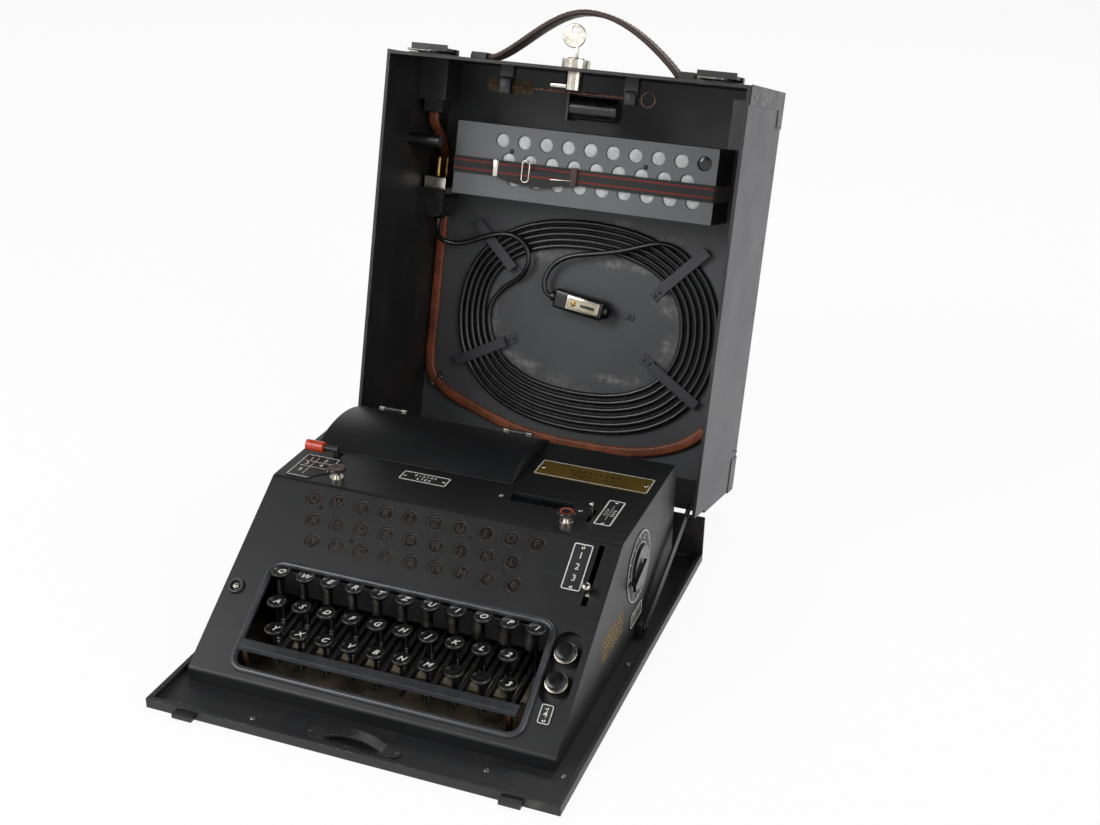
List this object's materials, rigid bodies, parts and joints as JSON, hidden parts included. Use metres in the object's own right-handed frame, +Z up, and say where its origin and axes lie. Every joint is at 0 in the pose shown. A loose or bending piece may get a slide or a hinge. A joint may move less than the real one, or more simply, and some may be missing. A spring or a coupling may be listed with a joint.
{
  "type": "rotor cipher machine in a travelling case",
  "caption": "Portable rotor cipher machine with keyboard, lamp panel and covered rotors, standing in an open black metal travelling case with its accessories stowed in the cover",
  "frame": {"origin": "middle of the tray's underside, which stands on the table", "axes": "+X to the right as the operator sees it, +Y to the rear where the cover is hinged, +Z up"},
  "size_m": [0.33, 0.5756, 0.45],
  "materials": {
    "case_paint": "worn satin black",
    "machine_paint": "black crackle lacquer",
    "dark_fittings": "black painted steel fittings",
    "bare_steel": "worn bare steel",
    "chrome_parts": "polished",
    "brass_parts": "dull",
    "copper_cap": "copper",
    "brown_leather": "worn brown",
    "black_plastic": "moulded black",
    "cable_rubber": "rubber sheathed",
    "lamp_windows": "dull translucent discs",
    "red_knob": "red",
    "key_black": "polished black"
  },
  "bodies": {
    "case_base": {"base_tray": "case_paint", "tray_fittings": "bare_steel", "housing": "machine_paint", "panel_fittings": "dark_fittings", "lamp_panel": "lamp_windows", "chassis": "bare_steel"},
    "cover": {"cover_shell": "case_paint", "cover_fittings": "dark_fittings", "carry_handle": "brown_leather", "remote_lamp_box": "case_paint", "stowage_straps": "brown_leather", "cable_ends": "black_plastic", "mains_cable": "cable_rubber", "cleaning_brush": "brass_parts"},
    "stay": {"lid_stay": "case_paint"},
    "left_latch": {"left_latch": "dark_fittings"},
    "right_latch": {"right_latch": "dark_fittings"},
    "case_lock": {"case_lock": "brass_parts"},
    "rotor_cover": {"rotor_cover": "machine_paint"},
    "rotor_drum": {"rotor_drum": "brass_parts"},
    "release_lever": {"release_lever": "red_knob"},
    "left_plunger": {"left_plunger": "copper_cap"},
    "right_plunger": {"right_plunger": "red_knob"},
    "counter_wheels": {"counter_wheels": "dark_fittings"},
    "counter_lever": {"counter_lever": "bare_steel"},
    "power_selector": {"power_selector": "chrome_parts"},
    "upper_terminal": {"upper_terminal": "black_plastic"},
    "lower_terminal": {"lower_terminal": "black_plastic"},
    "voltage_dial": {"voltage_dial": "black_plastic"},
    "rear_key_1": {"rear_key_1": "key_black"},
    "rear_key_2": {"rear_key_2": "key_black"},
    "rear_key_3": {"rear_key_3": "key_black"},
    "rear_key_4": {"rear_key_4": "key_black"},
    "rear_key_5": {"rear_key_5": "key_black"},
    "rear_key_6": {"rear_key_6": "key_black"},
    "rear_key_7": {"rear_key_7": "key_black"},
    "rear_key_8": {"rear_key_8": "key_black"},
    "rear_key_9": {"rear_key_9": "key_black"},
    "rear_key_10": {"rear_key_10": "key_black"},
    "rear_key_11": {"rear_key_11": "key_black"},
    "middle_key_1": {"middle_key_1": "key_black"},
    "middle_key_2": {"middle_key_2": "key_black"},
    "middle_key_3": {"middle_key_3": "key_black"},
    "middle_key_4": {"middle_key_4": "key_black"},
    "middle_key_5": {"middle_key_5": "key_black"},
    "middle_key_6": {"middle_key_6": "key_black"},
    "middle_key_7": {"middle_key_7": "key_black"},
    "middle_key_8": {"middle_key_8": "key_black"},
    "middle_key_9": {"middle_key_9": "key_black"},
    "middle_key_10": {"middle_key_10": "key_black"},
    "front_key_1": {"front_key_1": "key_black"},
    "front_key_2": {"front_key_2": "key_black"},
    "front_key_3": {"front_key_3": "key_black"},
    "front_key_4": {"front_key_4": "key_black"},
    "front_key_5": {"front_key_5": "key_black"},
    "front_key_6": {"front_key_6": "key_black"},
    "front_key_7": {"front_key_7": "key_black"},
    "front_key_8": {"front_key_8": "key_black"},
    "front_key_9": {"front_key_9": "key_black"},
    "front_key_10": {"front_key_10": "key_black"}
  },
  "joints": [
    {"name": "cover_hinge", "type": "hinge", "parent": "case_base", "child": "cover", "pos_m": [0, 0.1865, 0.044], "axis": [-1, 0, 0], "range_deg": [-104.3, 0]},
    {"name": "stay_pivot", "type": "hinge", "parent": "case_base", "child": "stay", "pos_m": [0.1536, 0.048, 0.01], "axis": [-1, 0, 0], "range_deg": [0, 17]},
    {"name": "left_latch_swing", "type": "hinge", "parent": "cover", "child": "left_latch", "pos_m": [-0.13, 0.279, 0.4069], "axis": [-1, 0, 0], "range_deg": [0, 100]},
    {"name": "right_latch_swing", "type": "hinge", "parent": "cover", "child": "right_latch", "pos_m": [0.13, 0.279, 0.4069], "axis": [-1, 0, 0], "range_deg": [0, 100]},
    {"name": "lock_turn", "type": "hinge", "parent": "cover", "child": "case_lock", "pos_m": [0, 0.27801, 0.40302], "axis": [0, 0.247, 0.969], "range_deg": [0, 90]},
    {"name": "rotor_cover_swing", "type": "hinge", "parent": "case_base", "child": "rotor_cover", "pos_m": [-0.057, 0.1447, 0.1143], "axis": [-1, 0, 0], "range_deg": [0, 100]},
    {"name": "rotor_drum_turn", "type": "hinge", "parent": "case_base", "child": "rotor_drum", "pos_m": [0, 0.0975, 0.091], "axis": [1, 0, 0], "continuous": true},
    {"name": "release_lever_swing", "type": "hinge", "parent": "case_base", "child": "release_lever", "pos_m": [-0.12, 0.047, 0.096], "axis": [-1, 0, 0], "range_deg": [0, 17]},
    {"name": "left_plunger_press", "type": "slide", "parent": "case_base", "child": "left_plunger", "axis": [0, 0, -1], "range_m": [0, 0.004], "stiffness_N_per_m": 300, "springref_m": -0.002},
    {"name": "right_plunger_press", "type": "slide", "parent": "case_base", "child": "right_plunger", "axis": [0, 0, -1], "range_m": [0, 0.004], "stiffness_N_per_m": 300, "springref_m": -0.002},
    {"name": "counter_turn", "type": "hinge", "parent": "case_base", "child": "counter_wheels", "pos_m": [0.066, 0.036, 0.101], "axis": [1, 0, 0], "continuous": true},
    {"name": "counter_lever_swing", "type": "hinge", "parent": "case_base", "child": "counter_lever", "pos_m": [0.11, 0.0295, 0.103], "axis": [1, 0, 0], "range_deg": [-25, 25]},
    {"name": "power_selector_slide", "type": "slide", "parent": "case_base", "child": "power_selector", "axis": [0, 0.8175, 0.576], "range_m": [-0.01, 0.037]},
    {"name": "upper_terminal_turn", "type": "hinge", "parent": "case_base", "child": "upper_terminal", "pos_m": [0.1303, -0.08124, 0.05893], "axis": [0, -0.576, 0.8175], "range_deg": [0, 1080]},
    {"name": "lower_terminal_turn", "type": "hinge", "parent": "case_base", "child": "lower_terminal", "pos_m": [0.1303, -0.10037, 0.04545], "axis": [0, -0.576, 0.8175], "range_deg": [0, 1080]},
    {"name": "voltage_dial_turn", "type": "hinge", "parent": "case_base", "child": "voltage_dial", "pos_m": [0.147, 0.04, 0.07], "axis": [1, 0, 0], "range_deg": [-90, 90]},
    {"name": "rear_key_1_press", "type": "hinge", "parent": "case_base", "child": "rear_key_1", "pos_m": [-0.105, -0.0205, 0.035], "axis": [1, 0, 0], "range_deg": [0, 2.8], "stiffness_Nm_per_rad": 1.2, "springref_deg": -3.44},
    {"name": "rear_key_2_press", "type": "hinge", "parent": "case_base", "child": "rear_key_2", "pos_m": [-0.0838, -0.0205, 0.035], "axis": [1, 0, 0], "range_deg": [0, 2.8], "stiffness_Nm_per_rad": 1.2, "springref_deg": -3.44},
    {"name": "rear_key_3_press", "type": "hinge", "parent": "case_base", "child": "rear_key_3", "pos_m": [-0.0626, -0.0205, 0.035], "axis": [1, 0, 0], "range_deg": [0, 2.8], "stiffness_Nm_per_rad": 1.2, "springref_deg": -3.44},
    {"name": "rear_key_4_press", "type": "hinge", "parent": "case_base", "child": "rear_key_4", "pos_m": [-0.0414, -0.0205, 0.035], "axis": [1, 0, 0], "range_deg": [0, 2.8], "stiffness_Nm_per_rad": 1.2, "springref_deg": -3.44},
    {"name": "rear_key_5_press", "type": "hinge", "parent": "case_base", "child": "rear_key_5", "pos_m": [-0.0202, -0.0205, 0.035], "axis": [1, 0, 0], "range_deg": [0, 2.8], "stiffness_Nm_per_rad": 1.2, "springref_deg": -3.44},
    {"name": "rear_key_6_press", "type": "hinge", "parent": "case_base", "child": "rear_key_6", "pos_m": [0.001, -0.0205, 0.035], "axis": [1, 0, 0], "range_deg": [0, 2.8], "stiffness_Nm_per_rad": 1.2, "springref_deg": -3.44},
    {"name": "rear_key_7_press", "type": "hinge", "parent": "case_base", "child": "rear_key_7", "pos_m": [0.0222, -0.0205, 0.035], "axis": [1, 0, 0], "range_deg": [0, 2.8], "stiffness_Nm_per_rad": 1.2, "springref_deg": -3.44},
    {"name": "rear_key_8_press", "type": "hinge", "parent": "case_base", "child": "rear_key_8", "pos_m": [0.0434, -0.0205, 0.035], "axis": [1, 0, 0], "range_deg": [0, 2.8], "stiffness_Nm_per_rad": 1.2, "springref_deg": -3.44},
    {"name": "rear_key_9_press", "type": "hinge", "parent": "case_base", "child": "rear_key_9", "pos_m": [0.0646, -0.0205, 0.035], "axis": [1, 0, 0], "range_deg": [0, 2.8], "stiffness_Nm_per_rad": 1.2, "springref_deg": -3.44},
    {"name": "rear_key_10_press", "type": "hinge", "parent": "case_base", "child": "rear_key_10", "pos_m": [0.0858, -0.0205, 0.035], "axis": [1, 0, 0], "range_deg": [0, 2.8], "stiffness_Nm_per_rad": 1.2, "springref_deg": -3.44},
    {"name": "rear_key_11_press", "type": "hinge", "parent": "case_base", "child": "rear_key_11", "pos_m": [0.107, -0.0205, 0.035], "axis": [1, 0, 0], "range_deg": [0, 2.8], "stiffness_Nm_per_rad": 1.2, "springref_deg": -3.44},
    {"name": "middle_key_1_press", "type": "hinge", "parent": "case_base", "child": "middle_key_1", "pos_m": [-0.098, -0.0205, 0.035], "axis": [1, 0, 0], "range_deg": [0, 2.8], "stiffness_Nm_per_rad": 1.2, "springref_deg": -3.44},
    {"name": "middle_key_2_press", "type": "hinge", "parent": "case_base", "child": "middle_key_2", "pos_m": [-0.0768, -0.0205, 0.035], "axis": [1, 0, 0], "range_deg": [0, 2.8], "stiffness_Nm_per_rad": 1.2, "springref_deg": -3.44},
    {"name": "middle_key_3_press", "type": "hinge", "parent": "case_base", "child": "middle_key_3", "pos_m": [-0.0556, -0.0205, 0.035], "axis": [1, 0, 0], "range_deg": [0, 2.8], "stiffness_Nm_per_rad": 1.2, "springref_deg": -3.44},
    {"name": "middle_key_4_press", "type": "hinge", "parent": "case_base", "child": "middle_key_4", "pos_m": [-0.0344, -0.0205, 0.035], "axis": [1, 0, 0], "range_deg": [0, 2.8], "stiffness_Nm_per_rad": 1.2, "springref_deg": -3.44},
    {"name": "middle_key_5_press", "type": "hinge", "parent": "case_base", "child": "middle_key_5", "pos_m": [-0.0132, -0.0205, 0.035], "axis": [1, 0, 0], "range_deg": [0, 2.8], "stiffness_Nm_per_rad": 1.2, "springref_deg": -3.44},
    {"name": "middle_key_6_press", "type": "hinge", "parent": "case_base", "child": "middle_key_6", "pos_m": [0.008, -0.0205, 0.035], "axis": [1, 0, 0], "range_deg": [0, 2.8], "stiffness_Nm_per_rad": 1.2, "springref_deg": -3.44},
    {"name": "middle_key_7_press", "type": "hinge", "parent": "case_base", "child": "middle_key_7", "pos_m": [0.0292, -0.0205, 0.035], "axis": [1, 0, 0], "range_deg": [0, 2.8], "stiffness_Nm_per_rad": 1.2, "springref_deg": -3.44},
    {"name": "middle_key_8_press", "type": "hinge", "parent": "case_base", "child": "middle_key_8", "pos_m": [0.0504, -0.0205, 0.035], "axis": [1, 0, 0], "range_deg": [0, 2.8], "stiffness_Nm_per_rad": 1.2, "springref_deg": -3.44},
    {"name": "middle_key_9_press", "type": "hinge", "parent": "case_base", "child": "middle_key_9", "pos_m": [0.0716, -0.0205, 0.035], "axis": [1, 0, 0], "range_deg": [0, 2.8], "stiffness_Nm_per_rad": 1.2, "springref_deg": -3.44},
    {"name": "middle_key_10_press", "type": "hinge", "parent": "case_base", "child": "middle_key_10", "pos_m": [0.0928, -0.0205, 0.035], "axis": [1, 0, 0], "range_deg": [0, 2.8], "stiffness_Nm_per_rad": 1.2, "springref_deg": -3.44},
    {"name": "front_key_1_press", "type": "hinge", "parent": "case_base", "child": "front_key_1", "pos_m": [-0.091, -0.0205, 0.035], "axis": [1, 0, 0], "range_deg": [0, 2.8], "stiffness_Nm_per_rad": 1.2, "springref_deg": -3.44},
    {"name": "front_key_2_press", "type": "hinge", "parent": "case_base", "child": "front_key_2", "pos_m": [-0.0698, -0.0205, 0.035], "axis": [1, 0, 0], "range_deg": [0, 2.8], "stiffness_Nm_per_rad": 1.2, "springref_deg": -3.44},
    {"name": "front_key_3_press", "type": "hinge", "parent": "case_base", "child": "front_key_3", "pos_m": [-0.0486, -0.0205, 0.035], "axis": [1, 0, 0], "range_deg": [0, 2.8], "stiffness_Nm_per_rad": 1.2, "springref_deg": -3.44},
    {"name": "front_key_4_press", "type": "hinge", "parent": "case_base", "child": "front_key_4", "pos_m": [-0.0274, -0.0205, 0.035], "axis": [1, 0, 0], "range_deg": [0, 2.8], "stiffness_Nm_per_rad": 1.2, "springref_deg": -3.44},
    {"name": "front_key_5_press", "type": "hinge", "parent": "case_base", "child": "front_key_5", "pos_m": [-0.0062, -0.0205, 0.035], "axis": [1, 0, 0], "range_deg": [0, 2.8], "stiffness_Nm_per_rad": 1.2, "springref_deg": -3.44},
    {"name": "front_key_6_press", "type": "hinge", "parent": "case_base", "child": "front_key_6", "pos_m": [0.015, -0.0205, 0.035], "axis": [1, 0, 0], "range_deg": [0, 2.8], "stiffness_Nm_per_rad": 1.2, "springref_deg": -3.44},
    {"name": "front_key_7_press", "type": "hinge", "parent": "case_base", "child": "front_key_7", "pos_m": [0.0362, -0.0205, 0.035], "axis": [1, 0, 0], "range_deg": [0, 2.8], "stiffness_Nm_per_rad": 1.2, "springref_deg": -3.44},
    {"name": "front_key_8_press", "type": "hinge", "parent": "case_base", "child": "front_key_8", "pos_m": [0.0574, -0.0205, 0.035], "axis": [1, 0, 0], "range_deg": [0, 2.8], "stiffness_Nm_per_rad": 1.2, "springref_deg": -3.44},
    {"name": "front_key_9_press", "type": "hinge", "parent": "case_base", "child": "front_key_9", "pos_m": [0.0786, -0.0205, 0.035], "axis": [1, 0, 0], "range_deg": [0, 2.8], "stiffness_Nm_per_rad": 1.2, "springref_deg": -3.44},
    {"name": "front_key_10_press", "type": "hinge", "parent": "case_base", "child": "front_key_10", "pos_m": [0.0998, -0.0205, 0.035], "axis": [1, 0, 0], "range_deg": [0, 2.8], "stiffness_Nm_per_rad": 1.2, "springref_deg": -3.44}
  ],
  "couplings": [
    {"joint": "stay_pivot", "follows": "cover_hinge", "ratio": -0.16299}
  ]
}
